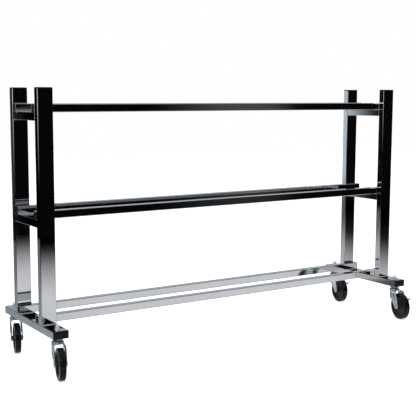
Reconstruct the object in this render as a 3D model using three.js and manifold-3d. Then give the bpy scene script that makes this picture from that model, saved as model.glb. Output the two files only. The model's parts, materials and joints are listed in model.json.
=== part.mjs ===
// A rolling rack cart in chromed steel tube, in millimetres.
// Two welded end frames carry three tiers of paired long rails and roll on four stem casters.
// X runs along the cart, Y to the back and Z up.

import * as THREE from 'three';
import { mergeVertices } from 'three/addons/utils/BufferGeometryUtils.js';
import Module from 'manifold-3d';

const wasm = await Module();
wasm.setup();

// Frame sizes
const frameLength = 1480;
const railGap = 130;
const tierPitch = 331;
const postRise = 47.6;
const baseLength = 412;

// Tube sections
const tubeWidth = 50.8;
const tubeDepth = 25.4;
const railSize = 25.4;
const tubeWall = 1.5;
const tubeCorner = 2;
const smallestCorner = 0.5;

// Plastic caps
const baseCapFlange = 3;
const postCapFlange = 4;
const capPlugLength = 12;
const capPlugWall = 2;
const capClearance = 0.3;

// Caster stem, races and cap nut
const stemInset = 28;
const stemRadius = 4.7;
const stemHoleClearance = 0.4;
const stemThreadInNut = 8;
const upperRaceRadius = 19;
const upperRaceHeight = 6;
const lowerRaceRadius = 20;
const lowerRaceHeight = 4.5;
const ballCircleRadius = 13;
const ballDiameter = 4;
const kingPinRadius = 5.5;
const kingPinHeadRadius = 8.5;
const kingPinHeadHeight = 3;
const runningGap = 0.3;
const washerRadius = 9.8;
const washerThickness = 1.6;
const capNutFlats = 14.3;
const capNutHexHeight = 6.5;
const capNutDomeHeight = 7;

// Caster fork
const swivelTrail = 43;
const forkInnerWidth = 34.6;
const forkSheet = 2.5;
const forkBend = 5;
const forkBackReach = 2;
const forkFrontReach = 35;
const forkShoulderDrop = 28;
const forkHeelReach = 4;
const forkHeelDrop = 34;
const forkTipRadius = 10;
const crownNoseReach = 24;
const crownNotchWidth = 28;
const crownNotchCorner = 6;
const crownWheelGap = 5.4;

// Wheel and axle
const wheelDiameter = 101.6;
const tyreWidth = 20.6;
const tyreShoulder = 3.5;
const tyreThickness = 13;
const hubRimWidth = 18;
const hubRimThickness = 4.5;
const hubWebWidth = 8;
const hubBossRadius = 9;
const hubEndGap = 0.5;
const axleRadius = 4;
const axleBoreRadius = 2.6;
const axleHeadRadius = 6.4;
const axleHeadHeight = 1.4;
const sleeveRadius = 5.8;

// Brake lever of the braked casters
const brakeSheet = 2.5;
const brakePivotReach = 26;
const brakePivotDrop = 21.5;
const brakePivotRadius = 2.5;
const brakeRivetHeadRadius = 4.6;
const brakeRivetHeadHeight = 1.8;
const brakeArmRadius = 8;
const brakeArmReach = 30;
const brakeArmTipHeight = 10;
const brakeTabDrop = 13.5;
const brakeTabWidth = 12;
const brakeTabLength = 21;
const brakeTabRise = 4;

// Names of the tiers, from the lowest up
const tierNames = ['low', 'middle', 'top'];

// How far each caster has swung from pointing straight to the front
const swivelDegrees = { front_left: 13.5, rear_left: 15.5, front_right: 10, rear_right: 10 };
const brakedCorners = ['front_right', 'rear_right'];

// Counts of segments
const cornerSegments = 2;
const bendSegments = 5;
const wheelSegments = 36;
const roundSegments = 16;
const ballSegments = 8;
const domeSteps = 4;

// Overrun of every cut past the piece that it cuts
const cutOverrun = 1;

// Derived places
const frameDepth = railGap + 2 * railSize + 2 * tubeDepth;
const postX = (frameLength - tubeWidth) / 2;
const postY = (frameDepth - tubeDepth) / 2;
const railY = (railGap + railSize) / 2;
const wheelRadius = wheelDiameter / 2;
const crownBottom = wheelDiameter + crownWheelGap;
const crownTop = crownBottom + forkSheet;
const lowerRaceTop = crownTop + lowerRaceHeight;
const ballBottom = lowerRaceTop + runningGap;
const upperRaceBottom = ballBottom + ballDiameter + runningGap;
const casterHeight = upperRaceBottom + upperRaceHeight;
const baseTop = casterHeight + tubeDepth;
const baseMiddle = casterHeight + tubeDepth / 2;
const postLength = (tierNames.length - 1) * tierPitch + railSize + postRise;
const postTop = baseTop + postLength;
const stemY = baseLength / 2 - stemInset;
const stemTop = baseTop + washerThickness + stemThreadInNut;
const forkOuterWidth = forkInnerWidth + 2 * forkSheet;
const forkSide = forkOuterWidth / 2;
const brakePivotZ = crownTop - brakePivotDrop;

// Materials
const chrome = new THREE.MeshStandardMaterial({ color: 0xd4d6da, roughness: 0.08, metalness: 1 });
const blackPlastic = new THREE.MeshStandardMaterial({ color: 0x121214, roughness: 0.45, metalness: 0 });
const zincSteel = new THREE.MeshStandardMaterial({ color: 0xb9c4c6, roughness: 0.28, metalness: 1 });
const tyreRubber = new THREE.MeshStandardMaterial({ color: 0x19191b, roughness: 0.6, metalness: 0 });
const hubPlastic = new THREE.MeshStandardMaterial({ color: 0x3a3b3e, roughness: 0.5, metalness: 0 });

// Solids from closed geometries, and back
function solidOf(geometry) {
  const bare = geometry.clone();
  bare.deleteAttribute('normal');
  bare.deleteAttribute('uv');
  const merged = mergeVertices(bare);
  const vertProperties = new Float32Array(merged.attributes.position.array);
  const triVerts = new Uint32Array(merged.index.array);
  return new wasm.Manifold(new wasm.Mesh({ numProp: 3, vertProperties, triVerts }));
}

function geometryOf(solid) {
  const mesh = solid.getMesh();
  const geometry = new THREE.BufferGeometry();
  geometry.setAttribute('position', new THREE.BufferAttribute(mesh.vertProperties, 3));
  geometry.setIndex(new THREE.BufferAttribute(mesh.triVerts, 1));
  geometry.computeVertexNormals();
  return geometry;
}

// Flat outlines
function roundedRectangle(width, height, corner, outline = new THREE.Shape()) {
  const x = width / 2 - corner;
  const y = height / 2 - corner;
  outline.absarc(x, y, corner, 0, Math.PI / 2, false);
  outline.absarc(-x, y, corner, Math.PI / 2, Math.PI, false);
  outline.absarc(-x, -y, corner, Math.PI, 1.5 * Math.PI, false);
  outline.absarc(x, -y, corner, 1.5 * Math.PI, 2 * Math.PI, false);
  outline.closePath();
  return outline;
}

function hollowRectangle(width, height, corner, wall) {
  const outline = roundedRectangle(width, height, corner);
  const boreCorner = Math.max(corner - wall, smallestCorner);
  const bore = roundedRectangle(width - 2 * wall, height - 2 * wall, boreCorner, new THREE.Path());
  outline.holes.push(bore);
  return outline;
}

function hexagon(flats) {
  const sixth = Math.PI / 3;
  const radius = flats / (2 * Math.cos(sixth / 2));
  const points = [];
  for (let i = 0; i < 6; i += 1) {
    points.push(new THREE.Vector2(radius * Math.cos(i * sixth), radius * Math.sin(i * sixth)));
  }
  return new THREE.Shape(points);
}

// Solids along Z: an extrusion standing on the origin or centred on it, and a turned profile
function extruded(outline, depth, curveSegments = cornerSegments) {
  return new THREE.ExtrudeGeometry(outline, { depth, bevelEnabled: false, curveSegments });
}

function centredExtrusion(outline, depth, curveSegments = cornerSegments) {
  return extruded(outline, depth, curveSegments).translate(0, 0, -depth / 2);
}

function turned(profile, segments = roundSegments) {
  const points = profile.map(([radius, height]) => new THREE.Vector2(radius, height));
  return new THREE.LatheGeometry(points, segments).rotateX(Math.PI / 2);
}

function disc(radius, height, bottom) {
  const top = bottom + height;
  return turned([[0, bottom], [radius, bottom], [radius, top], [0, top]]);
}

function drill(radius, height, bottom) {
  return disc(radius, height + 2 * cutOverrun, bottom - cutOverrun);
}

function cut(solid, geometry) {
  return solid.subtract(solidOf(geometry));
}

function join(solid, geometry) {
  return solid.add(solidOf(geometry));
}

function named(name, geometry, material) {
  const mesh = new THREE.Mesh(geometry, material);
  mesh.name = name;
  return mesh;
}

// Frame tubes
function wideTube(length) {
  return extruded(hollowRectangle(tubeWidth, tubeDepth, tubeCorner, tubeWall), length);
}

function longRailGeometry() {
  const outline = hollowRectangle(railSize, railSize, tubeCorner, tubeWall);
  return centredExtrusion(outline, frameLength).rotateY(Math.PI / 2);
}

function crossTube(length) {
  return wideTube(length).translate(0, 0, -length / 2).rotateX(-Math.PI / 2);
}

// The base rail has a hole near each end for a caster's stem
function baseRailGeometry() {
  let solid = solidOf(crossTube(baseLength - 2 * baseCapFlange));
  for (const side of [-1, 1]) {
    const hole = drill(stemRadius + stemHoleClearance, tubeDepth, -tubeDepth / 2);
    solid = cut(solid, hole.translate(0, side * stemY, 0));
  }
  return geometryOf(solid);
}

// A cap's flange covers the tube's end, and its hollow plug goes inside
function capGeometry(flangeThickness) {
  const flange = extruded(roundedRectangle(tubeWidth, tubeDepth, tubeCorner), flangeThickness);
  const inset = tubeWall + capClearance;
  const plugCorner = Math.max(tubeCorner - tubeWall, smallestCorner);
  const outline = hollowRectangle(tubeWidth - 2 * inset, tubeDepth - 2 * inset, plugCorner, capPlugWall);
  const plug = extruded(outline, capPlugLength + flangeThickness / 2).translate(0, 0, -capPlugLength);
  return geometryOf(join(solidOf(flange), plug));
}

function endFrame(side, sign) {
  const group = new THREE.Group();
  group.position.x = sign * postX;
  for (const [end, facing] of [['front', -1], ['rear', 1]]) {
    const post = named(`post_${end}_${side}`, wideTube(postLength), chrome);
    post.position.set(0, facing * postY, baseTop);
    const postCap = named(`post_cap_${end}_${side}`, capGeometry(postCapFlange), blackPlastic);
    postCap.position.set(0, facing * postY, postTop);
    const baseCap = named(`base_cap_${end}_${side}`, capGeometry(baseCapFlange), blackPlastic);
    baseCap.position.set(0, facing * (baseLength / 2 - baseCapFlange), baseMiddle);
    baseCap.rotation.x = -facing * (Math.PI / 2);
    group.add(post, postCap, baseCap);
  }
  const base = named(`base_rail_${side}`, baseRailGeometry(), chrome);
  base.position.z = baseMiddle;
  group.add(base);
  for (let tier = 1; tier < tierNames.length; tier += 1) {
    const length = frameDepth - 2 * tubeDepth;
    const crossbar = named(`crossbar_${tierNames[tier]}_${side}`, crossTube(length), chrome);
    crossbar.position.z = baseTop + tier * tierPitch - tubeDepth / 2;
    group.add(crossbar);
  }
  return group;
}

// The low rails lie on the base rails, and the others on the crossbars
function longRails() {
  const group = new THREE.Group();
  tierNames.forEach((tierName, tier) => {
    for (const [end, facing] of [['front', -1], ['rear', 1]]) {
      const rail = named(`rail_${tierName}_${end}`, longRailGeometry(), chrome);
      rail.position.set(0, facing * railY, baseTop + tier * tierPitch + railSize / 2);
      group.add(rail);
    }
  });
  return group;
}

// The stem goes up from the king pin's head through the upper race and the base rail into the nut
function stemGeometry() {
  const headTop = crownBottom - runningGap;
  const headBottom = headTop - kingPinHeadHeight;
  return turned([
    [0, headBottom], [kingPinHeadRadius, headBottom], [kingPinHeadRadius, headTop],
    [kingPinRadius, headTop], [kingPinRadius, upperRaceBottom], [upperRaceRadius, upperRaceBottom],
    [upperRaceRadius, casterHeight], [stemRadius, casterHeight], [stemRadius, stemTop], [0, stemTop],
  ]);
}

// The ring of balls between the two races
function bearingGeometry() {
  const ballRadius = ballDiameter / 2;
  const ring = new THREE.TorusGeometry(ballCircleRadius, ballRadius, ballSegments, roundSegments);
  return ring.translate(0, 0, ballBottom + ballRadius);
}

// A domed hexagon nut on a round washer, with a blind bore for the stem
function capNutGeometry() {
  const hexTop = washerThickness + capNutHexHeight;
  const radius = capNutFlats / 2;
  const profile = [[0, washerThickness]];
  for (let i = 0; i < domeSteps; i += 1) {
    const angle = (i / domeSteps) * (Math.PI / 2);
    profile.push([radius * Math.cos(angle), hexTop + capNutDomeHeight * Math.sin(angle)]);
  }
  profile.splice(1, 0, [radius, washerThickness]);
  profile.push([0, hexTop + capNutDomeHeight]);
  const nut = join(solidOf(extruded(hexagon(capNutFlats), hexTop)), turned(profile));
  const boreDepth = washerThickness + stemThreadInNut + runningGap;
  const bore = disc(stemRadius + runningGap, boreDepth + cutOverrun, -cutOverrun);
  return geometryOf(cut(join(nut, disc(washerRadius, washerThickness, 0)), bore));
}

// The angle at which a line from a point of the fork's outline touches the round tip
function tipTangent(reach, height, turn) {
  const along = reach - swivelTrail;
  const up = height - wheelRadius;
  return Math.atan2(up, along) + turn * Math.acos(forkTipRadius / Math.hypot(along, up));
}

// The leg seen from the side: x is the reach from the swivel axis towards the axle, y the height
function forkSideOutline() {
  const heel = [forkHeelReach, crownTop - forkHeelDrop];
  const outline = new THREE.Shape();
  outline.moveTo(forkFrontReach, crownTop);
  outline.lineTo(-forkBackReach, crownTop);
  outline.lineTo(-forkBackReach, crownTop - forkShoulderDrop);
  outline.lineTo(...heel);
  const rear = tipTangent(...heel, 1);
  const front = tipTangent(forkFrontReach, crownTop, -1);
  outline.absarc(swivelTrail, wheelRadius, forkTipRadius, rear, front, false);
  outline.closePath();
  return outline;
}

// Stands an outline of reach and height upright, with its thickness centred across the fork
function acrossFork(outline, thickness) {
  return centredExtrusion(outline, thickness, bendSegments).rotateX(Math.PI / 2).rotateZ(-Math.PI / 2);
}

function acrossAxle(geometry) {
  return geometry.rotateY(Math.PI / 2);
}

function forkBlank() {
  const height = 2 * (crownTop - wheelRadius + forkTipRadius);
  const length = 2 * (swivelTrail + forkTipRadius + cutOverrun);
  const channel = hollowRectangle(forkOuterWidth, height, forkBend, forkSheet);
  const blank = centredExtrusion(channel, length).rotateX(Math.PI / 2);
  blank.translate(0, 0, crownTop - height / 2);
  const sides = acrossFork(forkSideOutline(), forkOuterWidth + 2 * cutOverrun);
  return solidOf(blank).intersect(solidOf(sides));
}

// A folded crown with two legs: the crown is notched in front and carries the lower race
function forkGeometry(braked) {
  const race = disc(lowerRaceRadius, lowerRaceTop - crownBottom, crownBottom);
  const notchLength = 2 * (forkFrontReach - crownNoseReach);
  const notch = extruded(
    roundedRectangle(crownNotchWidth, notchLength, crownNotchCorner),
    forkSheet + lowerRaceHeight + 2 * cutOverrun,
  ).translate(0, -forkFrontReach, crownBottom - cutOverrun);
  const pinHole = drill(kingPinRadius + runningGap, lowerRaceTop - crownBottom, crownBottom);
  const axleHole = acrossAxle(drill(axleRadius + runningGap, forkOuterWidth, -forkSide));
  axleHole.translate(0, -swivelTrail, wheelRadius);
  let fork = join(forkBlank(), race);
  for (const cutter of [notch, pinHole, axleHole]) {
    fork = cut(fork, cutter);
  }
  if (braked) {
    const pivotHole = acrossAxle(drill(brakePivotRadius + runningGap, forkSheet, -forkSheet));
    fork = cut(fork, pivotHole.translate(forkSide, -brakePivotReach, brakePivotZ));
  }
  return geometryOf(fork);
}

// The axle is a hollow rivet whose rolled heads lie outside the two legs
function axleRivetGeometry() {
  const seat = forkSide + runningGap;
  const end = seat + axleHeadHeight;
  return acrossAxle(turned([
    [axleBoreRadius, -end], [axleHeadRadius, -end], [axleHeadRadius, -seat], [axleRadius, -seat],
    [axleRadius, seat], [axleHeadRadius, seat], [axleHeadRadius, end], [axleBoreRadius, end],
    [axleBoreRadius, -end],
  ]));
}

// The sleeve keeps the legs apart, and the hub turns on it
function axleSleeveGeometry() {
  const end = forkInnerWidth / 2 - runningGap;
  const bore = axleRadius + runningGap;
  return acrossAxle(turned([
    [bore, -end], [sleeveRadius, -end], [sleeveRadius, end], [bore, end], [bore, -end],
  ]));
}

// Wheel profiles give the radius and the place across the wheel
function tyreGeometry() {
  const half = tyreWidth / 2;
  const inner = wheelRadius - tyreThickness;
  const shoulder = wheelRadius - tyreShoulder;
  const crown = half - tyreShoulder;
  return acrossAxle(turned([
    [inner, -half], [shoulder, -half], [wheelRadius, -crown], [wheelRadius, crown],
    [shoulder, half], [inner, half], [inner, -half],
  ], wheelSegments));
}

function hubGeometry() {
  const rimOuter = wheelRadius - tyreThickness - runningGap;
  const rimInner = rimOuter - hubRimThickness;
  const rim = hubRimWidth / 2;
  const web = hubWebWidth / 2;
  const boss = forkInnerWidth / 2 - hubEndGap;
  const bore = sleeveRadius + runningGap;
  return acrossAxle(turned([
    [bore, -boss], [hubBossRadius, -boss], [hubBossRadius, -web], [rimInner, -web], [rimInner, -rim],
    [rimOuter, -rim], [rimOuter, rim], [rimInner, rim], [rimInner, web], [hubBossRadius, web],
    [hubBossRadius, boss], [bore, boss], [bore, -boss],
  ], wheelSegments));
}

// The lever's arm lies outside the far leg and ends in a foot tab that is folded outwards
function brakeArm() {
  const outline = new THREE.Shape();
  const tabStart = brakeArmReach - brakeTabWidth;
  outline.absarc(0, 0, brakeArmRadius, Math.PI / 2, 1.5 * Math.PI, false);
  outline.lineTo(tabStart, -brakeTabDrop);
  outline.lineTo(brakeArmReach, -brakeTabDrop);
  outline.lineTo(brakeArmReach, brakeArmTipHeight - brakeTabDrop);
  outline.closePath();
  return acrossFork(outline, brakeSheet).translate(brakeSheet / 2, 0, 0);
}

function brakeTab() {
  const outline = new THREE.Shape();
  outline.moveTo(0, -brakeTabDrop);
  outline.lineTo(brakeTabLength, brakeTabRise - brakeTabDrop);
  outline.lineTo(brakeTabLength, brakeTabRise + brakeSheet - brakeTabDrop);
  outline.lineTo(0, brakeSheet - brakeTabDrop);
  outline.closePath();
  const tab = centredExtrusion(outline, brakeTabWidth).rotateX(Math.PI / 2);
  return tab.translate(0, brakeTabWidth / 2 - brakeArmReach, 0);
}

function brakeLeverGeometry() {
  const hole = acrossAxle(drill(brakePivotRadius + runningGap, brakeSheet, 0));
  return geometryOf(cut(join(solidOf(brakeArm()), brakeTab()), hole));
}

// The rivet's heads lie inside the leg and outside the lever
function brakeRivetGeometry() {
  const inside = -forkSheet - runningGap;
  const outside = brakeSheet + 2 * runningGap;
  const innerEnd = inside - brakeRivetHeadHeight;
  const outerEnd = outside + brakeRivetHeadHeight;
  return acrossAxle(turned([
    [0, innerEnd], [brakeRivetHeadRadius, innerEnd], [brakeRivetHeadRadius, inside],
    [brakePivotRadius, inside], [brakePivotRadius, outside], [brakeRivetHeadRadius, outside],
    [brakeRivetHeadRadius, outerEnd], [0, outerEnd],
  ]));
}

function wheelAndAxle(corner) {
  const group = new THREE.Group();
  group.position.set(0, -swivelTrail, wheelRadius);
  group.add(
    named(`axle_rivet_${corner}`, axleRivetGeometry(), zincSteel),
    named(`axle_sleeve_${corner}`, axleSleeveGeometry(), zincSteel),
    named(`hub_${corner}`, hubGeometry(), hubPlastic),
    named(`tyre_${corner}`, tyreGeometry(), tyreRubber),
  );
  return group;
}

function brake(corner) {
  const group = new THREE.Group();
  group.position.set(forkSide, -brakePivotReach, brakePivotZ);
  const lever = named(`brake_lever_${corner}`, brakeLeverGeometry(), zincSteel);
  lever.position.x = runningGap;
  group.add(named(`brake_rivet_${corner}`, brakeRivetGeometry(), zincSteel), lever);
  return group;
}

// A caster hangs from the base rail, with its fork and wheel swung about the stem
function caster(corner, signX, signY) {
  const fixed = new THREE.Group();
  fixed.position.set(signX * postX, signY * stemY, 0);
  const nut = named(`cap_nut_${corner}`, capNutGeometry(), chrome);
  nut.position.z = baseTop;
  const swivel = new THREE.Group();
  swivel.rotation.z = -THREE.MathUtils.degToRad(swivelDegrees[corner]);
  const braked = brakedCorners.includes(corner);
  swivel.add(named(`fork_${corner}`, forkGeometry(braked), zincSteel), wheelAndAxle(corner));
  if (braked) {
    swivel.add(brake(corner));
  }
  fixed.add(
    nut,
    named(`stem_${corner}`, stemGeometry(), zincSteel),
    named(`bearing_${corner}`, bearingGeometry(), zincSteel),
    swivel,
  );
  return fixed;
}

// The cart stands with the middle of its outer box's underside at the origin
const cart = new THREE.Group();
cart.add(endFrame('left', -1), endFrame('right', 1), longRails());
cart.add(caster('front_left', -1, -1), caster('rear_left', -1, 1));
cart.add(caster('front_right', 1, -1), caster('rear_right', 1, 1));

const group = new THREE.Group();
group.add(cart);
group.updateMatrixWorld(true);
const outerBox = new THREE.Box3().setFromObject(cart, true);
const middle = outerBox.getCenter(new THREE.Vector3());
cart.position.set(-middle.x, -middle.y, -outerBox.min.z);

export default group;
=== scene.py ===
import json
import math

import bpy
from mathutils import Matrix, Vector


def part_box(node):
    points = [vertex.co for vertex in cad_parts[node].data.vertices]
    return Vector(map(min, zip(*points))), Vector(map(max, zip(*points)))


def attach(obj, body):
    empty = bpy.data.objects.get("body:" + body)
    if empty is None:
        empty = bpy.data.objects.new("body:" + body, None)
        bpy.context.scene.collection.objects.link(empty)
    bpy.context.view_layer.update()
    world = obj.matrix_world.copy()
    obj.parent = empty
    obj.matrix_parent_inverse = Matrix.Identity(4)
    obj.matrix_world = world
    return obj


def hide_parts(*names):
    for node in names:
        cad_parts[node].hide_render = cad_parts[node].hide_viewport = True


# Looks of a rolling rack cart in chromed steel tube, in metres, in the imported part's frame.

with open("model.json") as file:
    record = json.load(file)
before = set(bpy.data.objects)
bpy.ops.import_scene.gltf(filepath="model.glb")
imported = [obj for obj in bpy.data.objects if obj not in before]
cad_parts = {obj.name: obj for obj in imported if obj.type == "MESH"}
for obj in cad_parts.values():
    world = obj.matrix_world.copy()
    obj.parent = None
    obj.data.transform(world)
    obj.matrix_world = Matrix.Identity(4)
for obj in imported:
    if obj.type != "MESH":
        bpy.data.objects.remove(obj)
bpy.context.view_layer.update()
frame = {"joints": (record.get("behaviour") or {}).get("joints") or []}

MM = 0.001

# Sizes repeated from the solids, in millimetres
TUBE_WIDTH = 50.8
TUBE_DEPTH = 25.4
RAIL_SIZE = 25.4
TUBE_WALL = 1.5
TUBE_CORNER = 2.0
POST_CAP_FLANGE = 4.0
BASE_CAP_FLANGE = 3.0
CAP_PLUG_LENGTH = 12.0
CAP_CLEARANCE = 0.3
STEM_RADIUS = 4.7
STEM_THREAD_IN_NUT = 8.0
UPPER_RACE_RADIUS = 19.0
UPPER_RACE_HEIGHT = 6.0
LOWER_RACE_RADIUS = 20.0
LOWER_RACE_HEIGHT = 4.5
BALL_CIRCLE_RADIUS = 13.0
BALL_DIAMETER = 4.0
KING_PIN_RADIUS = 5.5
KING_PIN_HEAD_RADIUS = 8.5
KING_PIN_HEAD_HEIGHT = 3.0
RUNNING_GAP = 0.3
WASHER_RADIUS = 9.8
WASHER_THICKNESS = 1.6
CAP_NUT_FLATS = 14.3
CAP_NUT_HEX_HEIGHT = 6.5
CAP_NUT_DOME_HEIGHT = 7.0
SWIVEL_TRAIL = 43.0
FORK_INNER_WIDTH = 34.6
FORK_SHEET = 2.5
FORK_BEND = 5.0
FORK_BACK_REACH = 2.0
FORK_FRONT_REACH = 35.0
FORK_SHOULDER_DROP = 28.0
FORK_HEEL_REACH = 4.0
FORK_HEEL_DROP = 34.0
FORK_TIP_RADIUS = 10.0
CROWN_NOSE_REACH = 24.0
CROWN_NOTCH_HALF = 14.0
CROWN_NOTCH_CORNER = 6.0
CROWN_WHEEL_GAP = 5.4
WHEEL_RADIUS = 50.8
TYRE_HALF = 10.3
TYRE_THICKNESS = 13.0
HUB_RIM_HALF = 9.0
HUB_RIM_THICKNESS = 4.5
HUB_WEB_HALF = 4.0
HUB_BOSS_RADIUS = 9.0
HUB_END_GAP = 0.5
AXLE_RADIUS = 4.0
AXLE_BORE_RADIUS = 2.6
AXLE_HEAD_RADIUS = 6.4
AXLE_HEAD_HEIGHT = 1.4
SLEEVE_RADIUS = 5.8
BRAKE_SHEET = 2.5
BRAKE_PIVOT_REACH = 26.0
BRAKE_PIVOT_DROP = 21.5
BRAKE_PIVOT_RADIUS = 2.5
BRAKE_RIVET_HEAD_RADIUS = 4.6
BRAKE_RIVET_HEAD_HEIGHT = 1.8
BRAKE_ARM_RADIUS = 8.0
BRAKE_ARM_REACH = 30.0
BRAKE_ARM_TIP_HEIGHT = 10.0
BRAKE_TAB_DROP = 13.5
BRAKE_TAB_WIDTH = 12.0
BRAKE_TAB_LENGTH = 21.0
BRAKE_TAB_RISE = 4.0

# Sizes of small forms that the solids leave out, in millimetres
TUBE_EDGE = 0.25
CAP_EDGE_ROUND = 1.4
CAP_DOME_RISE = 0.35
RAIL_PLUG_PLAY = 0.1
RAIL_PLUG_CORNER = 1.5
BEAD_STEP = 0.8
BEAD_RIPPLE = 2.2
BEAD_ROOT = 0.2
FOOT_BEAD = 2.4
RAIL_BEAD = 2.0
CROSSBAR_BEAD = 2.2
SHORT_BEAD = 1.6
PANEL_DEPTH = 2.0
PANEL_RIM = 2.2
PANEL_SLOPE = 4.4
PANEL_FOOT = 12.0
PANEL_FOOT_SLOPE = 6.0
PANEL_HEAD = 6.0
PANEL_HEAD_SLOPE = 4.0
FORK_EDGE = 0.45
TREAD_RISE = 0.12
BRAKE_FOLD = 2.6
BRAKE_TAB_RIM = 3.2
BRAKE_RIM_WIDTH = 3.0
BRAKE_TAB_CORNER = 3.0
BRAKE_EDGE = 0.4

# The rings of a rail's end plug, each with its inset and its height from the end of the tube
RAIL_PLUG_RINGS = [(0, -14), (0, -1.0), (0.3, -0.5), (0.8, -0.4), (3.2, -0.4), (4.0, -1.2), (8.5, -1.6)]

# The bends of a tyre's shoulder, each with its radius, its first and last angle, and its steps
TYRE_BENDS = [(12.0, 0.0, 22.0, 6), (2.6, 22.0, 90.0, 8)]

# Shares of a weld bead: its tapered ends, its ripples, its uneven run and its hollow face
BEAD_TAPER = 0.06
BEAD_WAVE = 0.1
BEAD_WANDER = 0.05
BEAD_HOLLOW = 0.28

# Places worked out from the sizes
CROWN_BOTTOM = 2 * WHEEL_RADIUS + CROWN_WHEEL_GAP
CROWN_TOP = CROWN_BOTTOM + FORK_SHEET
LOWER_RACE_TOP = CROWN_TOP + LOWER_RACE_HEIGHT
BALL_BOTTOM = LOWER_RACE_TOP + RUNNING_GAP
UPPER_RACE_BOTTOM = BALL_BOTTOM + BALL_DIAMETER + RUNNING_GAP
CASTER_HEIGHT = UPPER_RACE_BOTTOM + UPPER_RACE_HEIGHT
BASE_TOP = CASTER_HEIGHT + TUBE_DEPTH
FORK_SIDE = FORK_INNER_WIDTH / 2 + FORK_SHEET
BRAKE_PIVOT_Z = CROWN_TOP - BRAKE_PIVOT_DROP

CORNERS = ["front_left", "front_right", "rear_left", "rear_right"]
BRAKED = ["front_right", "rear_right"]
ENDS = ["front", "rear"]
SIDES = {"left": -1, "right": 1}
TIERS = ["low", "middle", "top"]
BALL_COUNT = 18

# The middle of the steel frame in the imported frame, in metres
rail_low, rail_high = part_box("rail_low_front")
base_low, base_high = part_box("base_rail_left")
CART_X = (rail_low.x + rail_high.x) / 2
CART_Y = (base_low.y + base_high.y) / 2

# The range that most of a noise lies in
NOISE_LOW = 0.3
NOISE_HIGH = 0.7


# Materials
def new_material(name):
    material = bpy.data.materials.new(name)
    material.use_nodes = True
    nodes = material.node_tree.nodes
    nodes.clear()
    output = nodes.new("ShaderNodeOutputMaterial")
    shader = nodes.new("ShaderNodeBsdfPrincipled")
    material.node_tree.links.new(shader.outputs["BSDF"], output.inputs["Surface"])
    return material, shader


def noise(material, scale, detail, stretch=(1, 1, 1)):
    """Noise in the piece's own coordinates."""
    nodes, links = material.node_tree.nodes, material.node_tree.links
    place = nodes.new("ShaderNodeTexCoord")
    mapping = nodes.new("ShaderNodeMapping")
    mapping.inputs["Scale"].default_value = stretch
    texture = nodes.new("ShaderNodeTexNoise")
    texture.inputs["Scale"].default_value = scale
    texture.inputs["Detail"].default_value = detail
    links.new(place.outputs["Object"], mapping.inputs["Vector"])
    links.new(mapping.outputs["Vector"], texture.inputs["Vector"])
    return texture.outputs["Fac"]


def ramp(material, source, low, high):
    """Spreads a noise over the range from low to high."""
    node = material.node_tree.nodes.new("ShaderNodeMapRange")
    node.inputs["From Min"].default_value = NOISE_LOW
    node.inputs["From Max"].default_value = NOISE_HIGH
    node.inputs["To Min"].default_value = low
    node.inputs["To Max"].default_value = high
    material.node_tree.links.new(source, node.inputs["Value"])
    return node.outputs["Result"]


def blend_colors(material, source, first, second):
    share = ramp(material, source, 0, 1)
    node = material.node_tree.nodes.new("ShaderNodeMix")
    node.data_type = "RGBA"
    node.inputs[6].default_value = (*first, 1)
    node.inputs[7].default_value = (*second, 1)
    material.node_tree.links.new(share, node.inputs[0])
    return node.outputs[2]


def bump(material, shader, layers):
    """Lays bumps over one another: each layer holds its heights, its strength and its depth in metres."""
    links = material.node_tree.links
    previous = None
    for heights, strength, depth in layers:
        node = material.node_tree.nodes.new("ShaderNodeBump")
        node.inputs["Strength"].default_value = strength
        node.inputs["Distance"].default_value = depth
        links.new(heights, node.inputs["Height"])
        if previous is not None:
            links.new(previous, node.inputs["Normal"])
        previous = node.outputs["Normal"]
    links.new(previous, shader.inputs["Normal"])


def metal(name, first, second, roughness, wave, grain, grain_stretch=(1, 1, 1), metallic=1.0, wave_scale=5):
    """Plated steel in two tones: wave and grain are the depths of a broad and a fine bump."""
    material, shader = new_material(name)
    links = material.node_tree.links
    shader.inputs["Metallic"].default_value = metallic
    tone = blend_colors(material, noise(material, scale=9, detail=4), first, second)
    links.new(tone, shader.inputs["Base Color"])
    rough = ramp(material, noise(material, scale=22, detail=5), *roughness)
    links.new(rough, shader.inputs["Roughness"])
    bump(material, shader, [
        (noise(material, scale=wave_scale, detail=1), 1.0, wave),
        (noise(material, scale=900, detail=3, stretch=grain_stretch), 0.2, grain),
    ])
    return material


def moulded(name, first, second, roughness, ior, grain_scale, grain, sheen=0.0):
    """Plastic or rubber in two tones, with a fine bump."""
    material, shader = new_material(name)
    links = material.node_tree.links
    tone = blend_colors(material, noise(material, scale=30, detail=5), first, second)
    links.new(tone, shader.inputs["Base Color"])
    rough = ramp(material, noise(material, scale=60, detail=4), *roughness)
    links.new(rough, shader.inputs["Roughness"])
    shader.inputs["IOR"].default_value = ior
    shader.inputs["Sheen Weight"].default_value = sheen
    shader.inputs["Sheen Roughness"].default_value = 0.22
    bump(material, shader, [(noise(material, scale=grain_scale, detail=2), 0.35, grain)])
    return material


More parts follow.
